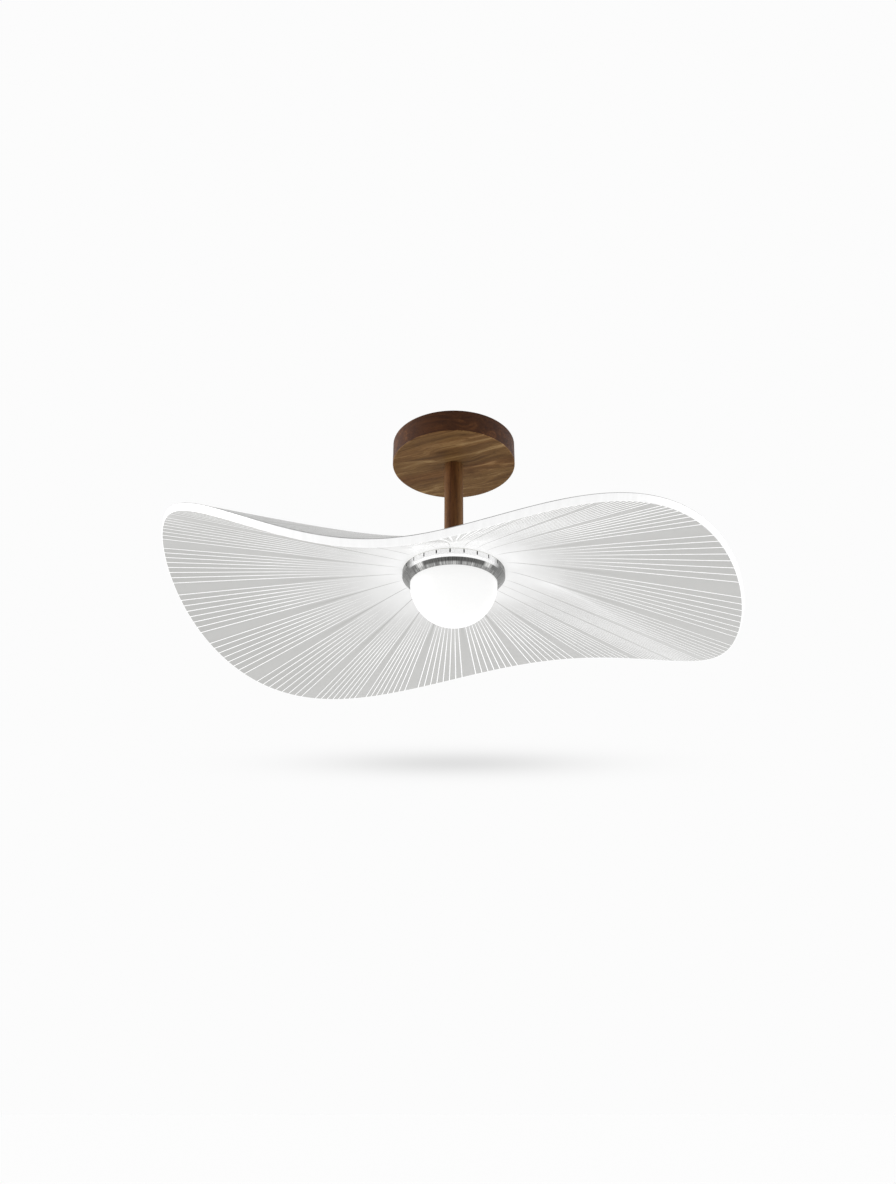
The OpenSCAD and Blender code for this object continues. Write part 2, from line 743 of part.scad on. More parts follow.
module trim_ring() {
  color("silver") {
    difference() {
      rotate_extrude() trim_section();
      around_axis(beam_count, beam_start) {
        translate([ring_r - ring_wall_t - past, -ring_slot_w / 2, ring_z + ring_flange_t]) {
          cube([ring_wall_t + 2 * past, ring_slot_w, ring_wall_h]);
        }
      }
      around_axis(3) translate([trim_screw_at, 0, ring_z - past]) {
        cylinder(r = trim_screw_r + fit_gap / 2, h = ring_flange_t + 2 * past, $fn = 32);
      }
      around_axis(lug_count, -twist) translate([0, 0, shelf_under - past]) {
        ring_sector(lug_r + fit_gap, shelf_r - past, shelf_t + 2 * past, -notch_angle / 2,
          notch_angle);
      }
    }
    around_axis(lug_count) translate([0, 0, shelf_top]) {
      for (from = [lug_angle / 2 + stop_gap, -twist - notch_angle / 2 - stop_angle]) {
        ring_sector(groove_r + 0.2, lug_r - stop_reach, lug_h, from, stop_angle);
      }
    }
  }
}

module trim_screws() {
  color("gainsboro") around_axis(3) translate([trim_screw_at, 0, ring_z]) rotate([180, 0, 0]) {
    pan_screw(trim_screw_r, trim_screw_len - 1, pan_r, pan_h);
  }
}

module center_board() {
  color("white") translate([0, 0, board_top - board_t]) difference() {
    cylinder(r = board_r, h = board_t);
    around_axis(3) translate([board_screw_at, 0, -past]) {
      cylinder(r = board_screw_r + 0.15, h = board_t + 2 * past, $fn = 32);
    }
  }
}

module board_leds() {
  color("lemonchiffon") translate([0, 0, board_top - board_t - led_size[2]]) {
    for (i = [0:len(board_led_counts) - 1]) around_axis(board_led_counts[i], 15) {
      translate([board_led_radii[i] - led_size[0] / 2, -led_size[1] / 2, 0]) cube(led_size);
    }
  }
}

module board_screws() {
  color("gainsboro") around_axis(3) translate([board_screw_at, 0, board_top - board_t]) {
    rotate([180, 0, 0]) {
      pan_screw(board_screw_r, board_t + pad_t - 0.5, board_head_r, board_recess - board_t);
    }
  }
}

// Half section of the dome: a half sphere with a shoulder and a narrower neck above it
module dome_section() {
  difference() {
    union() {
      intersection() {
        translate([0, neck_base]) circle(r = dome_r, $fn = 128);
        translate([0, neck_base - dome_r]) square([dome_r, dome_r]);
      }
      translate([0, neck_base]) square([dome_r, shoulder_top - neck_base]);
      translate([0, neck_base]) square([neck_r, neck_top - neck_base]);
    }
    intersection() {
      translate([0, neck_base]) circle(r = dome_r - dome_t, $fn = 128);
      translate([0, neck_base - dome_r]) square([dome_r, dome_r]);
    }
    translate([0, neck_base - past]) square([neck_in_r, neck_top - neck_base + 2 * past]);
    translate([-dome_d, neck_base - dome_d]) square([dome_d, 2 * dome_d]);
  }
}

module dome_diffuser() {
  color("white") {
    rotate_extrude() dome_section();
    around_axis(lug_count) translate([0, 0, lug_z]) {
      ring_sector(lug_r, neck_r - neck_t / 2, lug_h, -lug_angle / 2, lug_angle);
    }
  }
}

ceiling_bracket();
earth_screw();
canopy();
canopy_screws();
terminal_block();
terminal_clamps();
led_driver();
floor_screws();
line_wires();
supply_lead();
threaded_tube();
tube_nuts();
tube_washers();
stem();
upper_cup();
upper_gasket();
shade();
lower_gasket();
led_carrier();
led_strip();
strip_leds();
trim_ring();
trim_screws();
center_board();
board_leds();
board_screws();
dome_diffuser();
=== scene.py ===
"""Semi-flush ceiling light: its looks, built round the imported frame. Metres, +Z up, ceiling at z = 0."""

import math

import bmesh
import bpy
from bpy.props import FloatProperty, FloatVectorProperty, IntProperty, PointerProperty
from bpy.types import Operator, Panel, PropertyGroup
from mathutils import Matrix, Vector


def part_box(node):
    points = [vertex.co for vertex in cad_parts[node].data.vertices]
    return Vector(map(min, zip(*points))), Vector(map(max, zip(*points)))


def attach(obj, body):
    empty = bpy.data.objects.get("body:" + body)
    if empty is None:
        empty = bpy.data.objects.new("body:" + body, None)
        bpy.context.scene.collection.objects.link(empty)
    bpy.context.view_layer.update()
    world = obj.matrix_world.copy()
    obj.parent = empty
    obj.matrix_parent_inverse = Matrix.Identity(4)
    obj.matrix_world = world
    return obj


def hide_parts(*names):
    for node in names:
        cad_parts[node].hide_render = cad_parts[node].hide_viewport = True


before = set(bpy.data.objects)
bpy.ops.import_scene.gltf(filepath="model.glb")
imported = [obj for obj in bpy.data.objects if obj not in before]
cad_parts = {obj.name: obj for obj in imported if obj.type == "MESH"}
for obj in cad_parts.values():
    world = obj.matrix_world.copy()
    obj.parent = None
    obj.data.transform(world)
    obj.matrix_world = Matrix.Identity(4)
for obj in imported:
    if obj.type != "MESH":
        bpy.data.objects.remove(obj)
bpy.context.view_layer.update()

bl_info = {
    "name": "Wavy ceiling light",
    "version": (1, 0, 0),
    "blender": (4, 5, 0),
    "location": "View3D > Sidebar > Ceiling light",
    "description": "Forms the edge-lit shade and finishes the hub, the dome and the woodwork",
    "category": "Object",
}

MM = 0.001
FULL_TURN = 2 * math.pi
FIXTURE = "fixture"


def smooth(low, high, value):
    """0 below low, 1 above high, and an even curve between."""
    share = min(max((value - low) / (high - low), 0.0), 1.0)
    return share * share * (3 - 2 * share)


def grey(tone):
    """A neutral colour."""
    return tone, tone, tone, 1


# Nodes

def shown_as(red, green, blue):
    """Linear colour of a colour given as it shows on a screen, 0 to 255."""
    def linear(value):
        value /= 255
        return value / 12.92 if value <= 0.04045 else ((value + 0.055) / 1.055) ** 2.4
    return linear(red), linear(green), linear(blue), 1.0


def node(tree, kind, values=None, links=None, **settings):
    """Adds a node, with plain values, links from other nodes' sockets, and its settings."""
    made = tree.nodes.new(kind)
    for key, value in settings.items():
        setattr(made, key, value)
    for key, value in (values or {}).items():
        made.inputs[key].default_value = value
    for key, source in (links or {}).items():
        tree.links.new(source, made.inputs[key])
    return made


def finish(name, **sockets):
    """A new material with its Principled shader's plain values set, and its tree and shader."""
    material = bpy.data.materials.new(name)
    material.use_nodes = True
    tree = material.node_tree
    shader = tree.nodes["Principled BSDF"]
    for key, value in sockets.items():
        shader.inputs[key.replace("_", " ")].default_value = value
    return material, tree, shader


def stretched_place(tree, turn, stretch):
    """Object coordinates, turned about Z and stretched along the grain."""
    place = node(tree, "ShaderNodeTexCoord").outputs["Object"]
    turned = node(tree, "ShaderNodeMapping", {"Rotation": (0, 0, turn)}, {"Vector": place})
    return node(tree, "ShaderNodeMapping", {"Scale": stretch}, {"Vector": turned.outputs[0]}).outputs[0]


def noise(tree, vector, detail=3.0, roughness=0.5, distortion=0.0):
    """Noise over a place that already has its scale."""
    return node(tree, "ShaderNodeTexNoise",
                {"Scale": 1.0, "Detail": detail, "Roughness": roughness, "Distortion": distortion},
                {"Vector": vector}).outputs["Fac"]


def speckle(tree, fineness, detail=3.0, roughness=0.5):
    """Noise that is alike in all directions, with about as many spots a metre as fineness says."""
    place = node(tree, "ShaderNodeTexCoord").outputs["Object"]
    scaled = node(tree, "ShaderNodeMapping", {"Scale": (fineness, fineness, fineness)}, {"Vector": place})
    return noise(tree, scaled.outputs[0], detail, roughness)


def strokes(tree, angle, density, detail):
    """Noise that changes only with the angle; density is about how many strokes a radian has."""
    along = node(tree, "ShaderNodeMath", {1: density}, {0: angle}, operation="MULTIPLY").outputs[0]
    return node(tree, "ShaderNodeTexNoise", {"Scale": 1.0, "Detail": detail}, {"W": along},
                noise_dimensions="1D").outputs["Fac"]


def ramp(tree, factor, stops):
    """A colour ramp through (position, colour) stops."""
    made = node(tree, "ShaderNodeValToRGB", links={"Fac": factor})
    elements = made.color_ramp.elements
    while len(elements) < len(stops):
        elements.new(0.5)
    for element, (position, colour) in zip(elements, stops):
        element.position = position
        element.color = colour
    return made.outputs["Color"]


def between(tree, factor, low, high, low_to, high_to):
    """factor, from low..high to low_to..high_to, clamped."""
    return node(tree, "ShaderNodeMapRange",
                {"From Min": low, "From Max": high, "To Min": low_to, "To Max": high_to},
                {"Value": factor}).outputs[0]


def mixed(tree, factor, first, second, blend="MIX"):
    """Colour mix; factor, first and second are sockets or plain values."""
    made = node(tree, "ShaderNodeMix", data_type="RGBA", blend_type=blend)
    for key, value in ((0, factor), (6, first), (7, second)):
        if isinstance(value, bpy.types.NodeSocket):
            tree.links.new(value, made.inputs[key])
        else:
            made.inputs[key].default_value = value
    return made.outputs[2]


def times(tree, first, second):
    """The product of two sockets."""
    return node(tree, "ShaderNodeMath", links={0: first, 1: second}, operation="MULTIPLY").outputs[0]


def bump(tree, shader, height, strength, distance):
    """Raises the surface by a height from 0 to 1."""
    made = node(tree, "ShaderNodeBump", {"Strength": strength, "Distance": distance}, {"Height": height})
    tree.links.new(made.outputs["Normal"], shader.inputs["Normal"])


def round_axis(tree):
    """The angle round the lamp's axis in radians, the distance from it, and the height."""
    place = node(tree, "ShaderNodeTexCoord").outputs["Object"]
    split = node(tree, "ShaderNodeSeparateXYZ", links={0: place})
    angle = node(tree, "ShaderNodeMath", links={0: split.outputs["Y"], 1: split.outputs["X"]},
                 operation="ARCTAN2").outputs[0]
    flat = node(tree, "ShaderNodeVectorMath", {1: (1, 1, 0)}, {0: place}, operation="MULTIPLY").outputs[0]
    radius = node(tree, "ShaderNodeVectorMath", links={0: flat}, operation="LENGTH").outputs["Value"]
    return angle, radius, split.outputs["Z"]


# Meshes

def outline(mesh, points):
    """Edges of a closed section in the XZ plane, through (radius, height) points in mm."""
    verts = [mesh.verts.new((radius * MM, 0, height * MM)) for radius, height in points]
    return [mesh.edges.new(pair) for pair in zip(verts, verts[1:] + verts[:1])]


def turn(mesh, verts, angle):
    """Turns vertices about the lamp's axis."""
    bmesh.ops.rotate(mesh, verts=verts, cent=(0, 0, 0), matrix=Matrix.Rotation(angle, 3, "Z"))


def in_order(mesh):
    """Sorts a mesh's parts by place, because a merge leaves them in another order on each run."""
    def spot(vert):
        return tuple(vert.co)

    def corners(part):
        return sorted(vert.index for vert in part.verts)

    for parts, place in ((mesh.verts, spot), (mesh.edges, corners), (mesh.faces, corners)):
        rank = {part: index for index, part in enumerate(sorted(parts, key=place))}
        parts.sort(key=rank.get)
        parts.index_update()


def spun_in_sectors(mesh, sectors, steps):
    """Spins a section through one sector and sets the sectors round the lamp's axis."""
    bmesh.ops.spin(mesh, geom=list(mesh.verts) + list(mesh.edges), cent=(0, 0, 0), axis=(0, 0, 1),
                   angle=FULL_TURN / sectors, steps=steps, use_merge=False)
    sector = list(mesh.verts) + list(mesh.edges) + list(mesh.faces)
    for index in range(1, sectors):
        copy = bmesh.ops.duplicate(mesh, geom=sector)["geom"]
        turn(mesh, [part for part in copy if isinstance(part, bmesh.types.BMVert)],
             index * FULL_TURN / sectors)
    bmesh.ops.remove_doubles(mesh, verts=mesh.verts, dist=2e-6)
    in_order(mesh)


def made_object(mesh, name, materials):
    """Turns a bmesh into a piece with its materials."""
    data = bpy.data.meshes.new(name)
    mesh.to_mesh(data)
    mesh.free()
    for material in materials:
        data.materials.append(material)
    piece = bpy.data.objects.new(name, data)
    bpy.context.scene.collection.objects.link(piece)
    return piece


def dress(node_name, *materials):
    """Puts materials in a CAD node's slots."""
    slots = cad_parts[node_name].material_slots
    for index, slot in enumerate(slots):
        slot.material = materials[min(index, len(materials) - 1)]


# Sizes and colours that a user would change

class ShadeSizes(PropertyGroup):
    disc_radius: FloatProperty(name="Disc radius", default=275.6,
                               description="Radius of the flat disc, in mm")
    span: FloatProperty(name="Span", default=226.0,
                        description="Width of the ring that the waves rise over, in mm")
    flat_radius: FloatProperty(name="Flat radius", default=50.0,
                               description="Radius of the flat centre, in mm")
    bore_radius: FloatProperty(name="Bore radius", default=38.0,
                               description="Radius of the disc's bore, in mm")
    thickness: FloatProperty(name="Thickness", default=8.0,
                             description="Thickness of the acrylic at the hub, in mm")
    rim_thickness: FloatProperty(name="Rim thickness", default=6.6,
                                 description="Thickness of the acrylic at the rim, in mm")
    edge: FloatProperty(name="Edge", default=0.6, description="Rounding of the rim, in mm")
    blend: FloatProperty(name="Blend", default=10.0,
                         description="Width over which the flat turns into the slopes, in mm")
    rim_drop: FloatProperty(name="Rim drop", default=44.5, description="Mean drop of the rim, in mm")
    waves: FloatVectorProperty(name="Waves", size=4, default=(33.0, 13.5, 30.5, 4.8),
                               description="Heights of the rim's waves, in mm")
    crests: FloatVectorProperty(name="Crests", size=4, default=(110.0, 31.0, 71.7, 31.2),
                                description="Directions of the waves' first crests, in degrees")
    bundles: IntProperty(name="Bundles", default=24, description="Number of bundles of light lines")
    lines: IntProperty(name="Lines", default=8, description="Number of light lines in a bundle")
    first_gap: FloatProperty(name="First gap", default=11.0,
                             description="Direction of the first gap between bundles, in degrees")
    line_start: FloatProperty(name="Line start", default=88.0,
                              description="Radius where the first lines begin, in mm")
    line_spread: FloatProperty(name="Line spread", default=34.0,
                               description="How much further out the last lines begin, in mm")
    line_width: FloatProperty(name="Line width", default=1.0, description="Width of a groove, in mm")
    line_depth: FloatProperty(name="Line depth", default=0.35, description="Depth of a groove, in mm")


class LightColours(PropertyGroup):
    acrylic: FloatVectorProperty(name="Acrylic", size=4, default=(0.304, 0.303, 0.299, 1), subtype="COLOR",
                                 description="Colour of the unlit acrylic")
    glow: FloatVectorProperty(name="Glow", size=4, default=(0.150, 0.150, 0.142, 1), subtype="COLOR",
                              description="Light that the acrylic gives everywhere")
    line: FloatVectorProperty(name="Line", size=4, default=(0.72, 0.72, 0.72, 1), subtype="COLOR",
                              description="Light of the engraved lines")
    opal: FloatVectorProperty(name="Opal", size=4, default=(0.80, 0.80, 0.795, 1), subtype="COLOR",
                              description="Light of the dome")


class StageSizes(PropertyGroup):
    floor_level: FloatProperty(name="Floor level", default=-1.25, unit="LENGTH",
                               description="Height of the floor")
    shadow_level: FloatProperty(name="Shadow level", default=-0.3376, unit="LENGTH",
                                description="Height of the soft shadow")
    background: FloatProperty(name="Background", default=0.973, description="Brightness of the background")


# The disc

class Wave:
    """The formed disc: where a point of the flat blank goes."""

    def __init__(self, sizes, level):
        self.sizes = sizes
        self.level = level
        self.span = sizes.span
        self.blend = sizes.blend / self.span
        self.norm = math.sqrt(1 + self.blend ** 2) - self.blend
        self.terms = [(n, height, math.radians(crest)) for n, (height, crest)
                      in enumerate(zip(sizes.waves, sizes.crests), 1)]

    def rim(self, angle):
        """Height of the rim over the flat centre, and its slope, at an angle."""
        height = -self.sizes.rim_drop
        slope = 0.0
        for n, size, crest in self.terms:
            height += size * math.cos(n * (angle - crest))
            slope -= n * size * math.sin(n * (angle - crest))
        return height, slope

    def formed(self, radius, angle, depth):
        """Place in mm of a blank's point: radius and angle on its underside, depth into the acrylic."""
        cosine, sine = math.cos(angle), math.sin(angle)
        share = (radius - self.sizes.flat_radius) / self.span
        if share <= 0:
            return Vector((radius * cosine, radius * sine, self.level + depth))
        height, slope = self.rim(angle)
        root = math.hypot(share, self.blend)
        rise = (root - self.blend) / self.norm
        steep = share / root / self.norm
        taken = (share - self.blend * math.atan(share / self.blend)) / self.norm ** 2
        across = self.sizes.flat_radius + self.span * (share - (height / self.span) ** 2 * taken / 2)
        out = self.span * (1 - (height * steep / self.span) ** 2 / 2)
        turn = -height * slope * taken / self.span
        tangent = height * steep * turn - out * slope * rise
        normal = Vector((-height * steep * across, tangent, out * across))
        normal.normalize()
        place = Vector((across, 0, self.level + height * rise)) + depth * normal
        return Vector((place.x * cosine - place.y * sine, place.x * sine + place.y * cosine, place.z))


class Disc:
    """The acrylic disc, engraved with bundles of light lines, and the light in it."""

    # the order of its materials
    UNDERSIDE, TOP, LINE, LINE_THROUGH, RIM, ARRIS, SEAT = range(7)
    BORE_ROUNDING = 0.3  # in mm
    SEAT_SHORT = 1.2  # how far inside the flat centre its clamped seat ends, in mm
    UNDER_CUTS, TOP_CUTS = 25, 17  # between the hub and the rim
    CUT_GROWTH = 1.45  # the rings between the cuts get wider outwards
    COLUMNS = 46  # of one bundle
    PITCH = 5  # columns from one line to the next; a line itself takes two
    STRIDE = 5  # lines begin in turns: each begins this many steps of the spread past its neighbour
    # where the lines stand off their even places: the direction, how far, and over how wide a stretch,
    # in degrees
    SWERVES = ((13, 6.6, 19), (63, 1.4, 15), (127, -3.3, 17), (321, -7.8, 21))
    LINE_FADE = 10  # a line begins to grow this far inside its start, in mm
    LINE_GROWN = 2.1  # and is grown at this many times the radius where the first lines begin
    LINE_END = 1.2  # how far inside the rim the grooves end, in mm
    FRONT_WIDER = 0.4  # lines at the front are wider by this share
    THINNING = (60, 190)  # radii that the sheet thins between, in mm
    # half a gap's width at the hub, in degrees, and how many degrees it gains on its way out
    GAP_WIDTH, GAP_WIDENING = 0.42, 1.5
    GAP_DARKNESS = 0.95  # share of the hub's glow that a gap lacks
    GAP_LIGHT = (0.055, 0.045)  # light in the gaps far out, and how much more there is on the left, which is painted light
    # the hub's glow, the share of the way that it reaches, how steeply it falls, and what is left
    GLOW, GLOW_REACH, GLOW_FALL, LEAST_GLOW = 0.87, 0.305, 1.4, 0.015
    FRONT_RIGHT = (0.10, 0.035)  # painted light: the glow is stronger there and reaches less far
    FRONT_REACH = 0.16  # and at the very front it reaches further, also painted light
    FRONT_SHADE = 0.03  # painted shade: the sheet's outer part is darker at the front by this much
    # the sheet's tightest bend: its direction at the hub, how far it turns towards the rim, half its
    # width, all in degrees, and the strength of the painted highlight along it
    BEND, BEND_TURN, BEND_WIDTH, BEND_LIGHT = -4, 34, 7.5, 0.20
    STREAK, STREAK_WIDTH, STREAK_LIGHT = -3, 1.4, 0.15  # a thin painted highlight beside that bend
    SHELTER, SHELTER_WIDTH = 16, 10  # painted shade: past the bend the gaps lose the light that other gaps far out get

    def __init__(self, sizes):
        self.sizes = sizes
        self.step = 360 / sizes.bundles / self.COLUMNS  # angle of one column, in degrees

    def mesh(self, level):
        """Its formed mesh, with the flat centre's underside at a level, in mm."""
        mesh = bmesh.new()
        self.blank(mesh)
        self.paint(mesh)
        self.form(mesh, Wave(self.sizes, level))
        bmesh.ops.recalc_face_normals(mesh, faces=mesh.faces)
        return mesh

    def blank(self, mesh):
        """The flat disc, spun in steps that fit the light lines, with its rim and bore rounded."""
        sizes = self.sizes
        edge, thick, far, near = sizes.edge, sizes.thickness, sizes.disc_radius, sizes.bore_radius
        soft = self.BORE_ROUNDING
        aside, up = 0.3 * edge, 0.3 * edge * 0.6
        points = [(near + soft, 0), (far - edge, 0), (far - aside, up), (far, edge),
                  (far, thick - edge), (far - aside, thick - up), (far - edge, thick),
                  (near + soft, thick), (near, thick - soft), (near, soft)]
        edges = outline(mesh, points)
        under, top = edges[0], edges[6]
        bmesh.ops.subdivide_edges(mesh, edges=[under], cuts=self.UNDER_CUTS)
        bmesh.ops.subdivide_edges(mesh, edges=[top], cuts=self.TOP_CUTS)
        low, high = near + soft, far - edge
        for vert in mesh.verts:
            radius = vert.co.x / MM
            if low + 1e-3 < radius < high - 1e-3:
                share = (radius - low) / (high - low)
                vert.co.x = (low + (high - low) * share ** self.CUT_GROWTH) * MM
        turn(mesh, mesh.verts, math.radians(sizes.first_gap + 0.5 * self.step))
        spun_in_sectors(mesh, sizes.bundles, self.COLUMNS)

    def placed(self, angle):
        """Where an evenly spaced angle ends up on the sheet, whose bundles aren't all equally wide."""
        shift = 0.0
        for direction, far, wide in self.SWERVES:
            past = (math.degrees(angle) - direction + 180) % 360 - 180
            shift += far * math.exp(-(past / wide) ** 2)
        return angle + math.radians(shift)

    def column(self, angle):
        """How many columns an angle lies past the last gap's middle, 0 to COLUMNS."""
        return (math.degrees(angle) - self.sizes.first_gap) / self.step % self.COLUMNS

    def from_line(self, angle):
        """Columns to the nearest light line's middle, and the radius where that line begins."""
        sizes = self.sizes
        column = self.column(angle)
        first = self.COLUMNS / 2 - self.PITCH / 2 * (sizes.lines - 1)
        index = round((column - first) / self.PITCH)
        index = min(max(index, 0), sizes.lines - 1)
        turn = self.STRIDE * index % sizes.lines
        start = sizes.line_start + sizes.line_spread * turn / sizes.lines
        return column - first - self.PITCH * index, start

    def material_at(self, centre):
        """The material of the face whose middle lies at a place of the flat disc, in mm."""
        sizes = self.sizes
        radius = math.hypot(centre.x, centre.y)
        on_top = centre.z > sizes.thickness / 2
        if radius > sizes.disc_radius - sizes.edge:
            return self.ARRIS if centre.z > sizes.thickness - sizes.edge else self.RIM
        if radius < sizes.bore_radius + self.BORE_ROUNDING:
            return self.RIM
        # the clamped seat is near black: painted shade for the hollow behind the ring's slots
        if radius < sizes.flat_radius - self.SEAT_SHORT:
            return self.SEAT
        away, start = self.from_line(math.atan2(centre.y, centre.x))
        if abs(away) < 0.9 and radius > start:
            return self.LINE_THROUGH if on_top else self.LINE
        return self.TOP if on_top else self.UNDERSIDE

    def in_gap(self, share, angle):
        """1 in the middle of a gap between bundles, and 0 among the lines. The gaps widen outwards."""
        column = self.column(angle)
        to_gap = min(column, self.COLUMNS - column) * self.step
        width = self.GAP_WIDTH + self.GAP_WIDENING * smooth(0.12, 0.62, share)
        return (1 - smooth(0.35 * width, width, to_gap)) * smooth(0.0, 0.07, share)

    def light(self, share, angle, gap):
        """The light in the sheet, for a share of the way from the flat centre to the rim. Besides the
        hub's glow it holds painted light and shade by direction round the lamp, and painted highlights
        along the bend.
        """
        to_front, to_right = -math.sin(angle), math.cos(angle)
        # painted light by direction: stronger, shorter glow at the front right, and a longer reach at the
        # very front
        front_right = smooth(0.0, 0.4, to_front) * smooth(0.0, 0.3, to_right)
        most = self.GLOW + self.FRONT_RIGHT[0] * front_right
        reach = self.GLOW_REACH - self.FRONT_RIGHT[1] * front_right
        reach += self.FRONT_REACH * smooth(0.8, 0.97, to_front)
        light = most * math.exp(-(share / reach) ** self.GLOW_FALL) + self.LEAST_GLOW
        light *= 1 - self.GAP_DARKNESS * gap
        past = math.degrees(angle) - self.BEND - self.BEND_TURN * share
        # painted shade: the gaps past the bend lose their gap light
        bend_gap_shade = math.exp(-((past - self.SHELTER) / self.SHELTER_WIDTH) ** 2)
        # the gaps on the left get extra painted light
        in_gap = self.GAP_LIGHT[0] * (1 - bend_gap_shade) + self.GAP_LIGHT[1] * smooth(0.2, 0.9, -to_right)
        light += gap * smooth(0.25, 0.6, share) * in_gap
        # painted shade on the front of the sheet's outer part
        light -= self.FRONT_SHADE * smooth(0.3, 0.7, to_front) * smooth(0.25, 0.5, share) * (1 - gap)
        # the sheet is bent most along one line on its right, and a painted reflection lies there: a thin
        # streak and a broad band
        streak = math.exp(-((past - self.STREAK) / self.STREAK_WIDTH) ** 2)
        light += self.STREAK_LIGHT * streak * smooth(0.1, 0.22, share) * (1 - smooth(0.42, 0.55, share))
        bend = math.exp(-(past / self.BEND_WIDTH) ** 2)
        return light + self.BEND_LIGHT * bend * smooth(0.05, 0.2, share) * (1 - 0.5 * gap)

    def paint(self, mesh):
        """Gives each face its material and each vertex its light."""
        glow = mesh.verts.layers.float.new("glow")
        for face in mesh.faces:
            face.smooth = True
            face.material_index = self.material_at(face.calc_center_median() / MM)
        for edge in mesh.edges:
            sides = {face.material_index for face in edge.link_faces}
            edge.smooth = len(sides) == 1
        for vert in mesh.verts:
            radius = math.hypot(vert.co.x, vert.co.y) / MM
            share = max(0.0, (radius - self.sizes.flat_radius) / self.sizes.span)
            angle = math.atan2(vert.co.y, vert.co.x)
            vert[glow] = self.light(share, self.placed(angle), self.in_gap(share, angle))

    def form(self, mesh, wave):
        """Narrows and sinks the light lines, then forms the disc over its wave."""
        sizes = self.sizes
        step = math.radians(self.step)
        for vert in mesh.verts:
            x, y, z = vert.co / MM
            radius = math.hypot(x, y)
            angle, beside = math.atan2(y, x), 0.0
            away, start = self.from_line(angle)
            grown = smooth(start - self.LINE_FADE, self.LINE_GROWN * sizes.line_start, radius)
            if abs(abs(away) - 1) < 0.2:
                wider = 1 + self.FRONT_WIDER * smooth(0.55, 0.95, -math.sin(self.placed(angle)))
                half = sizes.line_width / 2 * wider * (0.1 + 0.9 * grown)
                angle -= math.copysign(step, away)
                beside = math.copysign(min(half, 1.2 * step * radius) / radius, away)
            elif abs(away) < 0.2 and radius < sizes.disc_radius - self.LINE_END and z < 1e-3:
                z = sizes.line_depth * grown
            thinner = (sizes.thickness - sizes.rim_thickness) * smooth(*self.THINNING, radius)
            z = thinner / 2 + z * (1 - thinner / sizes.thickness)
            vert.co = wave.formed(radius, self.placed(angle) + beside, z) * MM


# The stage

def seen_directly(tree):
    """1 where a camera, glossy or transmission ray arrives, and 0 elsewhere."""
    ray = node(tree, "ShaderNodeLightPath").outputs
    first = node(tree, "ShaderNodeMath", links={0: ray["Is Camera Ray"], 1: ray["Is Glossy Ray"]},
                 operation="MAXIMUM").outputs[0]
    return node(tree, "ShaderNodeMath", links={0: first, 1: ray["Is Transmission Ray"]},
                operation="MAXIMUM").outputs[0]


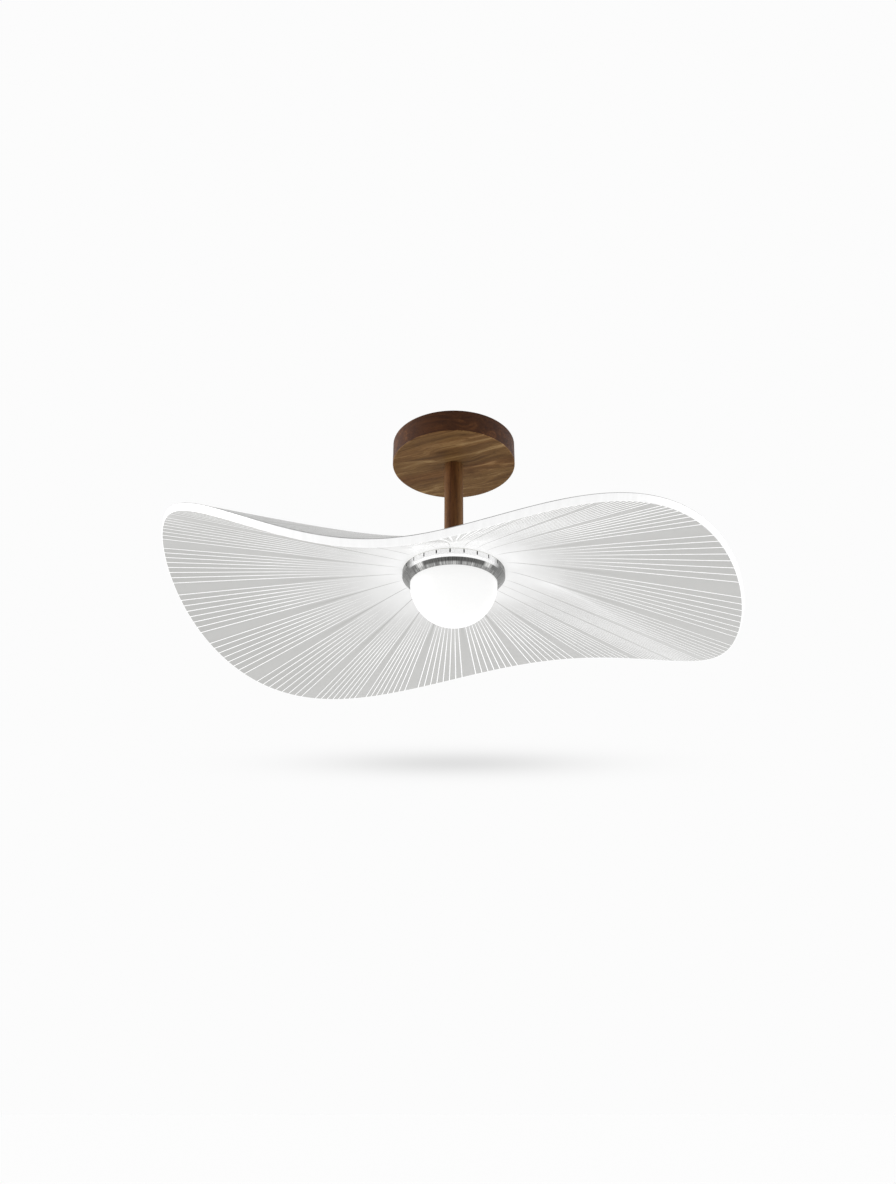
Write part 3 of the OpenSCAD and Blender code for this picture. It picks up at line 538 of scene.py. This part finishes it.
class LAMP_OT_stage(Operator):
    """Sets the camera, the lamps, the pale floor and the soft shadow"""
    bl_idname = "ceiling_lamp.stage"
    bl_label = "Stage"

    # the photograph's height, the lens's focal length and how far right of the middle the lamp's axis
    # stands, all in the photograph's pixels, found by fitting the lamp's outline to it
    PHOTO_HEIGHT, FOCAL_LENGTH, AXIS_ASIDE = 1184, 1023.2, 5.8
    SENSOR = 36.0  # the sensor's long side, in mm
    VIEWPOINT = (0, -0.8854, -0.6025)
    TILT = 26.15  # degrees upwards
    ROOM_LIGHT = (0.30, 0.97)  # strength from the front, and from the sides and the back
    ROOM_FALL = (-0.95, -0.15)  # Y of the directions that the strength changes between
    FLOOR_LIGHT = (0.22, 0.30)  # what the floor gives to the lamp, and what the camera sees of it
    CARD = (0.32, 0.05)  # half the shadow card's width and height
    SHADOW = (0.115, 0.0108)  # how far the shadow spreads sideways and upwards
    SHADOW_TONE = 0.775
    LAMP_MIDDLE = Vector((0, 0, -0.13))
    SOFTBOXES = (("left_softbox", (-1.3, 0.1, -0.02), 20.0), ("right_softbox", (1.3, 0.1, -0.02), 10.0))
    SOFTBOX_SIZE = (1.2, 0.6)

    def execute(self, context):
        scene = context.scene
        sizes = scene.lamp_stage
        scene.view_settings.view_transform = "Standard"
        self.camera(scene)
        self.surroundings(scene, sizes)
        self.floor(sizes)
        self.shadow(sizes)
        self.lamps(scene)
        return {"FINISHED"}

    def camera(self, scene):
        """The photograph's viewpoint: in front of the lamp and below it, looking up."""
        data = bpy.data.cameras.new("camera")
        data.sensor_width = self.SENSOR
        data.lens = self.SENSOR * self.FOCAL_LENGTH / self.PHOTO_HEIGHT
        data.shift_x = -self.AXIS_ASIDE / self.PHOTO_HEIGHT
        data.clip_start = 0.01
        data.clip_end = 100.0
        camera = bpy.data.objects.new("camera", data)
        camera.location = self.VIEWPOINT
        camera.rotation_euler = (math.radians(90 + self.TILT), 0, 0)
        scene.collection.objects.link(camera)
        scene.camera = camera

    def surroundings(self, scene, sizes):
        """A white room for the camera. Its light falls off towards the front, as in the photograph."""
        world = bpy.data.worlds.new("room")
        world.use_nodes = True
        scene.world = world
        tree = world.node_tree
        tree.nodes.clear()
        way = node(tree, "ShaderNodeTexCoord").outputs["Generated"]
        front = node(tree, "ShaderNodeSeparateXYZ", links={0: way}).outputs["Y"]
        level = between(tree, front, *self.ROOM_FALL, *self.ROOM_LIGHT)
        light = node(tree, "ShaderNodeBackground", {"Color": grey(1)}, {"Strength": level})
        white = node(tree, "ShaderNodeBackground", {"Color": grey(1), "Strength": sizes.background})
        mix = node(tree, "ShaderNodeMixShader",
                   links={0: seen_directly(tree), 1: light.outputs[0], 2: white.outputs[0]})
        node(tree, "ShaderNodeOutputWorld", links={"Surface": mix.outputs[0]})

    def floor(self, sizes):
        """A plain pale floor, far below the lamp."""
        mesh = bmesh.new()
        bmesh.ops.create_grid(mesh, x_segments=2, y_segments=2, size=40.0)
        bmesh.ops.translate(mesh, verts=mesh.verts, vec=(0, 0, sizes.floor_level))
        material, tree, shader = finish("pale_floor", Base_Color=grey(0.80), Roughness=0.9,
                                        Specular_IOR_Level=0.0, Emission_Color=grey(1))
        light = between(tree, seen_directly(tree), 0.0, 1.0, *self.FLOOR_LIGHT)
        tree.links.new(light, shader.inputs["Emission Strength"])
        made_object(mesh, "floor", [material])

    def shadow(self, sizes):
        """The soft shadow under the lamp: an upright clear card that darkens what is behind it."""
        upright = Matrix.Rotation(math.pi / 2, 4, "X") @ Matrix.Diagonal((*self.CARD, 1, 1))
        mesh = bmesh.new()
        bmesh.ops.create_grid(mesh, x_segments=2, y_segments=2, size=1.0, matrix=upright)
        bmesh.ops.translate(mesh, verts=mesh.verts, vec=(0, 0, sizes.shadow_level))
        material = bpy.data.materials.new("soft_shadow")
        material.use_nodes = True
        tree = material.node_tree
        tree.nodes.clear()
        place = node(tree, "ShaderNodeTexCoord").outputs["Object"]
        middle = node(tree, "ShaderNodeVectorMath", {1: (0, 0, sizes.shadow_level)}, {0: place},
                      operation="SUBTRACT").outputs[0]
        scaled = node(tree, "ShaderNodeVectorMath", {1: (1 / self.SHADOW[0], 0, 1 / self.SHADOW[1])},
                      {0: middle}, operation="MULTIPLY").outputs[0]
        away = node(tree, "ShaderNodeVectorMath", links={0: scaled, 1: scaled},
                    operation="DOT_PRODUCT").outputs["Value"]
        falling = node(tree, "ShaderNodeMath", {1: -1.0}, {0: away}, operation="MULTIPLY").outputs[0]
        dark = node(tree, "ShaderNodeMath", links={0: falling}, operation="EXPONENT").outputs[0]
        clear = mixed(tree, dark, grey(1), grey(self.SHADOW_TONE))
        see = node(tree, "ShaderNodeBsdfTransparent", links={"Color": clear})
        node(tree, "ShaderNodeOutputMaterial", links={"Surface": see.outputs[0]})
        made_object(mesh, "shadow_card", [material])

    def lamps(self, scene):
        """A soft box on each side, level with the lamp."""
        for name, place, power in self.SOFTBOXES:
            data = bpy.data.lights.new(name, "AREA")
            data.shape = "RECTANGLE"
            data.energy = power
            data.size, data.size_y = self.SOFTBOX_SIZE
            lamp = bpy.data.objects.new(name, data)
            lamp.location = place
            aim = self.LAMP_MIDDLE - Vector(place)
            lamp.rotation_euler = aim.to_track_quat("-Z", "Y").to_euler()
            lamp.visible_camera = False
            scene.collection.objects.link(lamp)


# The pieces

class LAMP_OT_shade(Operator):
    """Forms the engraved acrylic disc"""
    bl_idname = "ceiling_lamp.shade"
    bl_label = "Shade"

    GASKET = 0.8  # the soft ring between the trim ring and the disc, in mm

    def execute(self, context):
        colours = context.scene.lamp_colours
        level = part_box("trim_ring")[1].z / MM + self.GASKET
        mesh = Disc(context.scene.lamp_shade).mesh(level)
        piece = made_object(mesh, "wavy_shade", [
            self.acrylic("lit_acrylic", colours, 1.0, 0.6),
            self.acrylic("acrylic_top", colours, 0.55, 0.2),
            self.line_light("engraved_line", colours, 1.0),
            self.line_light("line_seen_through", colours, 0.42),
            # the rim's upper edge and the clamped seat are darkened as painted shade
            self.rim_light(), self.arris(), moulded("seat_in_painted_shade", grey(0.02), 0.7)])
        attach(piece, FIXTURE)
        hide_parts("shade")
        return {"FINISHED"}

    def acrylic(self, name, colours, share, polish):
        """Polished acrylic: pale grey, brighter where the hub's light is strong and where painted light
        and highlights lie in its glow.
        """
        material, tree, shader = finish(name, Roughness=0.45, Specular_IOR_Level=0.1, Coat_Weight=polish,
                                        Coat_Roughness=0.08, Emission_Strength=share)
        glow = node(tree, "ShaderNodeAttribute", attribute_name="glow").outputs["Fac"]
        cloud = speckle(tree, 45, detail=4.0)
        lit = times(tree, glow, between(tree, cloud, 0.3, 0.7, 0.94, 1.06))
        tree.links.new(mixed(tree, lit, tuple(colours.acrylic), grey(0.30)), shader.inputs["Base Color"])
        tree.links.new(mixed(tree, lit, tuple(colours.glow), grey(0.68)), shader.inputs["Emission Color"])
        tree.links.new(between(tree, cloud, 0.3, 0.7, 0.5, 0.4), shader.inputs["Roughness"])
        tree.links.new(between(tree, glow, 0.1, 0.4, polish, 0.0), shader.inputs["Coat Weight"])
        return material

    def arris(self):
        """The upper edge of the rim, which turns away from the light; its darker tone is painted shade."""
        material, tree, shader = finish("rim_arris", Emission_Strength=0.3)
        grain = speckle(tree, 60)
        colour = ramp(tree, grain, [(0.35, grey(0.20)), (0.65, grey(0.30))])
        tree.links.new(colour, shader.inputs["Base Color"])
        tree.links.new(colour, shader.inputs["Emission Color"])
        tree.links.new(between(tree, grain, 0.3, 0.7, 0.4, 0.25), shader.inputs["Roughness"])
        return material

    def rim_light(self):
        """The rim and the bore, where the light of the hub comes out."""
        material, tree, shader = finish("glowing_rim", Base_Color=grey(0.30), Roughness=0.25,
                                        Emission_Strength=1.0)
        streaks = strokes(tree, round_axis(tree)[0], 55.0, 2.0)
        tree.links.new(ramp(tree, streaks, [(0.3, grey(0.605)), (0.7, grey(0.645))]),
                       shader.inputs["Emission Color"])
        return material

    def line_light(self, name, colours, share):
        """Milled grooves that scatter the edge light."""
        material, tree, shader = finish(name, Base_Color=grey(0.36), Roughness=0.45, Emission_Strength=1.0)
        bright = [channel * share for channel in colours.line[:3]]
        dim = [channel * 0.86 for channel in bright]
        light = ramp(tree, speckle(tree, 260, detail=2.0), [(0.3, (*dim, 1)), (0.65, (*bright, 1))])
        tree.links.new(light, shader.inputs["Emission Color"])
        return material


class LAMP_OT_woodwork(Operator):
    """Gives the canopy and the stem their walnut"""
    bl_idname = "ceiling_lamp.woodwork"
    bl_label = "Woodwork"

    # painted light and shade on the stem's upright face, from its left to its right: a lighter left edge,
    # a shaded front, a painted sheen on the right and a darker far right edge
    SHADED_FRONT, PAINTED_SHEEN = (0.43, 0.33, 0.265, 1), (0.90, 0.87, 0.70, 1)
    STEM_TONES = ((0.05, (0.60, 0.52, 0.42, 1)), (0.32, SHADED_FRONT), (0.48, SHADED_FRONT), (0.88, PAINTED_SHEEN),
                  (0.965, (0.47, 0.38, 0.30, 1)))
    # the canopy's upright side is darker all round: partly its end grain, partly painted shade
    CANOPY_SIDE_GRAIN_AND_SHADE = (0.23, 0.135, 0.09, 1)

    def execute(self, context):
        dress("canopy", walnut("walnut_canopy", math.radians(21), (9, 135, 135), 0.6,
                               ((0.0, self.CANOPY_SIDE_GRAIN_AND_SHADE), (1.0, self.CANOPY_SIDE_GRAIN_AND_SHADE))))
        dress("stem", walnut("walnut_stem", 0.0, (150, 150, 8), 0.0, self.STEM_TONES))
        return {"FINISHED"}


def walnut(name, turn, stretch, sway, levels):
    """Oiled walnut. stretch is how fast the figure changes along each axis, per metre, and sway is how far
    its streaks wander. levels are the tones of upright faces, from those on the left to the right: painted
    light and shade, and on the canopy partly its darker end grain."""
    material, tree, shader = finish(name, Specular_IOR_Level=0.12)
    bend = noise(tree, stretched_place(tree, turn, (16, 34, 34)), detail=1.0)
    aside = between(tree, bend, 0.3, 0.7, -sway, sway)
    sideways = node(tree, "ShaderNodeCombineXYZ", links={"Y": aside, "Z": aside}).outputs[0]
    swayed = node(tree, "ShaderNodeVectorMath", operation="ADD",
                  links={0: stretched_place(tree, turn, stretch), 1: sideways}).outputs[0]
    figure = noise(tree, swayed, detail=5.0, roughness=0.62, distortion=0.6)
    colour = ramp(tree, figure, [(0.30, shown_as(90, 62, 35)), (0.44, shown_as(118, 86, 51)),
                                 (0.56, shown_as(136, 103, 63)), (0.70, shown_as(182, 148, 102))])
    heart = noise(tree, stretched_place(tree, turn, [0.3 * share for share in stretch]), detail=1.0)
    redder = between(tree, heart, 0.50, 0.68, 0.0, 0.5)
    colour = mixed(tree, redder, colour, mixed(tree, 1.0, colour, (0.92, 0.72, 0.64, 1), "MULTIPLY"))
    fibre = noise(tree, stretched_place(tree, turn, [6 * share for share in stretch]), detail=4.0,
                  roughness=0.7)
    worn = ramp(tree, fibre, [(0.35, (0.66, 0.62, 0.58, 1)), (0.6, (1.0, 1.0, 1.0, 1))])
    colour = mixed(tree, 0.5, colour, worn, "MULTIPLY")
    pores = noise(tree, stretched_place(tree, turn, [20 * share for share in stretch]), detail=2.0)
    colour = mixed(tree, between(tree, pores, 0.38, 0.31, 0.0, 0.8), colour, shown_as(50, 31, 17))
    normal = node(tree, "ShaderNodeTexCoord").outputs["Normal"]
    facing = node(tree, "ShaderNodeSeparateXYZ", links={0: normal}).outputs
    flat = node(tree, "ShaderNodeMath", links={0: facing["Z"]}, operation="ABSOLUTE").outputs[0]
    # upright faces take tones by the way they face: painted light and shade, and on the canopy partly end
    # grain
    side = between(tree, flat, 0.25, 0.75, 1.0, 0.0)
    level = ramp(tree, between(tree, facing["X"], -1.0, 1.0, 0.0, 1.0), levels)
    colour = mixed(tree, side, colour, mixed(tree, 1.0, colour, level, "MULTIPLY"))
    tree.links.new(colour, shader.inputs["Base Color"])
    tree.links.new(between(tree, fibre, 0.3, 0.7, 0.66, 0.48), shader.inputs["Roughness"])
    bump(tree, shader, pores, 0.25, 0.0002)
    return material


class LAMP_OT_metalwork(Operator):
    """Gives the ring, the cup and the steel parts their brushed metal"""
    bl_idname = "ceiling_lamp.metalwork"
    bl_label = "Metalwork"

    CONE_HEIGHT = 7.5  # in mm, as are the depths inside the ring's outer edge that follow
    INNER_BRUSHED_REFLECTION = (4.0, 5.0)
    LIP_HIGHLIGHT = (1.9, 1.5)
    SLOT_SHADE_DEPTH = (0.2, 0.4)
    LIT_TO = 0.27  # of a half turn; the painted light on the lamp's front reaches this far round
    # painted reflections: tones of the cone's outer part, from the front of the lamp at 0 round to its
    # back at 1
    CONE_REFLECTION_TONES = ((0.0, (0.068, 0.068, 0.066, 1)), (0.205, (0.12, 0.12, 0.117, 1)),
                  (0.225, (0.64, 0.64, 0.63, 1)), (0.25, (0.64, 0.64, 0.63, 1)),
                  (0.28, (0.17, 0.17, 0.167, 1)), (0.5, (0.27, 0.27, 0.265, 1)),
                  (0.72, grey(0.20)), (0.75, (0.48, 0.48, 0.47, 1)), (0.79, grey(0.16)), (1.0, grey(0.12)))

    def execute(self, context):
        dress("trim_ring", self.ring_metal())
        dress("upper_cup", turned_metal("brushed_cup", (0.50, 0.50, 0.51, 1), 0.34, 70.0))
        dress("led_carrier", turned_metal("turned_aluminium", (0.66, 0.67, 0.68, 1), 0.38, 50.0))
        dress("ceiling_bracket", plated("zinc_plate", (0.55, 0.56, 0.57, 1), 0.36))
        dress("tube_washers", plated("zinc_washer", (0.55, 0.56, 0.57, 1), 0.36))
        dress("threaded_tube", plated("zinc_tube", (0.58, 0.55, 0.44, 1), 0.32))
        for name in ("floor_screws", "trim_screws", "board_screws"):
            dress(name, plated("bright_" + name, (0.62, 0.62, 0.63, 1), 0.22))
        dress("canopy_screws", plated("black_screw", (0.03, 0.03, 0.03, 1), 0.45))
        for name in ("tube_nuts", "earth_screw", "terminal_clamps"):
            dress(name, plated("brass_" + name, (0.72, 0.50, 0.19, 1), 0.30))
        return {"FINISHED"}

    def ring_metal(self):
        """Polished slotted wall over a cone that is brushed outwards, with a bright lip at the front. Its
        colour holds painted light: reflections round the cone, the lip's highlight, a wall lit at the
        front and shade in the slots.
        """
        material, tree, shader = finish("brushed_ring_painted_light", Metallic=1.0)
        angle, radius, height = round_axis(tree)
        low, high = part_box("trim_ring")
        cone_top = low.z + self.CONE_HEIGHT * MM
        outer = high.x
        turned = node(tree, "ShaderNodeMath", {1: math.pi / 2}, {0: angle}).outputs[0]
        wrapped = node(tree, "ShaderNodeMath", {1: math.pi, 2: -math.pi}, {0: turned},
                       operation="WRAP").outputs[0]
        from_front = node(tree, "ShaderNodeMath", links={0: wrapped}, operation="ABSOLUTE").outputs[0]
        half_turn = node(tree, "ShaderNodeMath", {1: math.pi}, {0: from_front},
                         operation="DIVIDE").outputs[0]
        fine = strokes(tree, angle, 48.0, 3.0)
        broad = strokes(tree, angle, 8.0, 2.0)
        outside = ramp(tree, half_turn, self.CONE_REFLECTION_TONES)
        inside = ramp(tree, broad, [(0.35, (0.16, 0.16, 0.158, 1)), (0.65, (0.42, 0.42, 0.415, 1))])
        # the inner part: brush strokes, lighter at the front as a painted reflection
        inner = self.ring_zone(tree, radius, outer, self.INNER_BRUSHED_REFLECTION)
        inner = times(tree, inner, between(tree, half_turn, self.LIT_TO, 0.36, 1.0, 0.3))
        # the brushed cone's colour, which holds painted reflections
        brushed = mixed(tree, inner, outside, inside)
        stroke = ramp(tree, fine, [(0.32, grey(0.62)), (0.66, grey(1.36))])
        brushed = mixed(tree, 1.0, brushed, stroke, "MULTIPLY")
        # painted highlight on the lip at the front
        lip = self.ring_zone(tree, radius, outer, self.LIP_HIGHLIGHT)
        lip = times(tree, lip, between(tree, half_turn, self.LIT_TO, 0.34, 1.0, 0.0))
        brushed = mixed(tree, lip, brushed, grey(0.90))
        # painted light: the wall is light at the front and darker further round
        wall = mixed(tree, between(tree, half_turn, self.LIT_TO, 0.33, 0.0, 1.0),
                     grey(0.90), (0.24, 0.24, 0.236, 1))
        # painted shade inside the slots
        wall = mixed(tree, self.ring_zone(tree, radius, outer, self.SLOT_SHADE_DEPTH), wall, grey(0.03))
        above = between(tree, height, cone_top + 0.1 * MM, cone_top + 0.3 * MM, 0.0, 1.0)
        tree.links.new(mixed(tree, above, brushed, wall), shader.inputs["Base Color"])
        tree.links.new(between(tree, fine, 0.3, 0.7, 0.40, 0.24), shader.inputs["Roughness"])
        bump(tree, shader, fine, 0.10, 0.0002)
        return material

    def ring_zone(self, tree, radius, outer, depths):
        """From 0 to 1 between two depths inside the ring's outer edge."""
        return between(tree, radius, outer - depths[0] * MM, outer - depths[1] * MM, 0.0, 1.0)


def turned_metal(name, colour, roughness, density):
    """Metal brushed outwards from the lamp's axis, with about density strokes a radian."""
    material, tree, shader = finish(name, Metallic=1.0)
    angle = round_axis(tree)[0]
    fine = strokes(tree, angle, density, 3.0)
    broad = strokes(tree, angle, 9.0, 2.0)
    dark = [channel * 0.62 for channel in colour[:3]]
    shade = ramp(tree, fine, [(0.3, (*dark, 1)), (0.65, colour)])
    lifted = between(tree, broad, 0.35, 0.65, 0.0, 0.45)
    shade = mixed(tree, lifted, shade, (0.86, 0.86, 0.87, 1), "OVERLAY")
    tree.links.new(shade, shader.inputs["Base Color"])
    tree.links.new(between(tree, fine, 0.3, 0.7, roughness + 0.1, roughness - 0.06),
                   shader.inputs["Roughness"])
    bump(tree, shader, fine, 0.12, 0.0002)
    return material


def plated(name, colour, roughness):
    """Plated steel or brass with faint blotches."""
    material, tree, shader = finish(name, Metallic=1.0)
    cloud = speckle(tree, 130, detail=5.0, roughness=0.6)
    dark = [channel * 0.8 for channel in colour[:3]]
    tree.links.new(ramp(tree, cloud, [(0.35, (*dark, 1)), (0.6, colour)]), shader.inputs["Base Color"])
    tree.links.new(between(tree, cloud, 0.3, 0.7, roughness + 0.1, roughness - 0.05),
                   shader.inputs["Roughness"])
    return material


class LAMP_OT_inner_parts(Operator):
    """Finishes the boards, LEDs, wires and plastic parts inside"""
    bl_idname = "ceiling_lamp.inner_parts"
    bl_label = "Inner parts"

    SILICONE = shown_as(214, 214, 208)

    def execute(self, context):
        dress("terminal_block", moulded("white_nylon", shown_as(232, 231, 226), 0.5))
        dress("led_driver", moulded("driver_case", shown_as(226, 227, 226), 0.55))
        dress("supply_lead", moulded("lead_jacket", shown_as(96, 96, 98), 0.5))
        dress("line_wires", moulded("wire_jacket", shown_as(120, 84, 58), 0.45))
        dress("upper_gasket", moulded("silicone_upper", self.SILICONE, 0.6))
        dress("lower_gasket", moulded("silicone_lower", self.SILICONE, 0.6))
        dress("led_strip", moulded("strip_board", shown_as(238, 238, 235), 0.4))
        dress("center_board", moulded("white_board", shown_as(240, 240, 238), 0.4))
        for name in ("strip_leds", "board_leds"):
            dress(name, self.phosphor("phosphor_" + name))
        return {"FINISHED"}

    def phosphor(self, name):
        """The yellow coating of an LED, lit."""
        material, tree, shader = finish(name, Roughness=0.4, Emission_Strength=0.5)
        colour = ramp(tree, speckle(tree, 900),
                      [(0.3, (0.80, 0.66, 0.25, 1)), (0.7, (0.92, 0.82, 0.42, 1))])
        tree.links.new(colour, shader.inputs["Base Color"])
        tree.links.new(colour, shader.inputs["Emission Color"])
        return material


def moulded(name, colour, roughness):
    """Moulded plastic or rubber with a fine orange-peel skin."""
    material, tree, shader = finish(name)
    skin = speckle(tree, 700)
    dull = [channel * 0.92 for channel in colour[:3]]
    tree.links.new(ramp(tree, skin, [(0.35, (*dull, 1)), (0.6, colour)]), shader.inputs["Base Color"])
    tree.links.new(between(tree, skin, 0.3, 0.7, roughness + 0.08, roughness - 0.05),
                   shader.inputs["Roughness"])
    bump(tree, shader, skin, 0.15, 0.0001)
    return material


class LAMP_OT_dome(Operator):
    """Gives the dome its lit opal"""
    bl_idname = "ceiling_lamp.dome"
    bl_label = "Dome"

    NECK = (0.030, 0.044)  # heights over the dome's lowest point that its light fades between

    def execute(self, context):
        dress("dome_diffuser", self.opal(context.scene.lamp_colours))
        return {"FINISHED"}

    def opal(self, colours):
        """Opal that glows evenly, a little less near its neck, where that dimming is painted shade."""
        material, tree, shader = finish("lit_opal", Base_Color=grey(0.14), Roughness=0.35,
                                        Emission_Strength=1.0)
        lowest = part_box("dome_diffuser")[0].z
        height = round_axis(tree)[2]
        # painted shade: the glow is a little dimmer near the neck
        neck = between(tree, height, lowest + self.NECK[0], lowest + self.NECK[1], 0.0, 1.0)
        dim = [channel * 0.93 for channel in colours.opal[:3]]
        tree.links.new(mixed(tree, neck, tuple(colours.opal), (*dim, 1)), shader.inputs["Emission Color"])
        return material


OPERATORS = (LAMP_OT_stage, LAMP_OT_shade, LAMP_OT_dome, LAMP_OT_woodwork, LAMP_OT_metalwork,
             LAMP_OT_inner_parts)


class LAMP_PT_panel(Panel):
    """Lists the steps that dress the ceiling light"""
    bl_idname = "LAMP_PT_panel"
    bl_label = "Ceiling light"
    bl_space_type = "VIEW_3D"
    bl_region_type = "UI"
    bl_category = "Ceiling light"

    def draw(self, context):
        for operator in OPERATORS:
            self.layout.operator(operator.bl_idname)
        for group in (context.scene.lamp_shade, context.scene.lamp_colours, context.scene.lamp_stage):
            box = self.layout.box()
            for name in group.__annotations__:
                box.prop(group, name)


CLASSES = (ShadeSizes, LightColours, StageSizes, *OPERATORS, LAMP_PT_panel)


def register():
    for made in CLASSES:
        bpy.utils.register_class(made)
    bpy.types.Scene.lamp_shade = PointerProperty(type=ShadeSizes)
    bpy.types.Scene.lamp_colours = PointerProperty(type=LightColours)
    bpy.types.Scene.lamp_stage = PointerProperty(type=StageSizes)


def unregister():
    for name in ("lamp_shade", "lamp_colours", "lamp_stage"):
        delattr(bpy.types.Scene, name)
    for made in reversed(CLASSES):
        bpy.utils.unregister_class(made)


def main():
    """Dresses the ceiling light."""
    register()
    for operator in OPERATORS:
        group, name = operator.bl_idname.split(".")
        getattr(getattr(bpy.ops, group), name)()


if __name__ == "__main__":
    main()
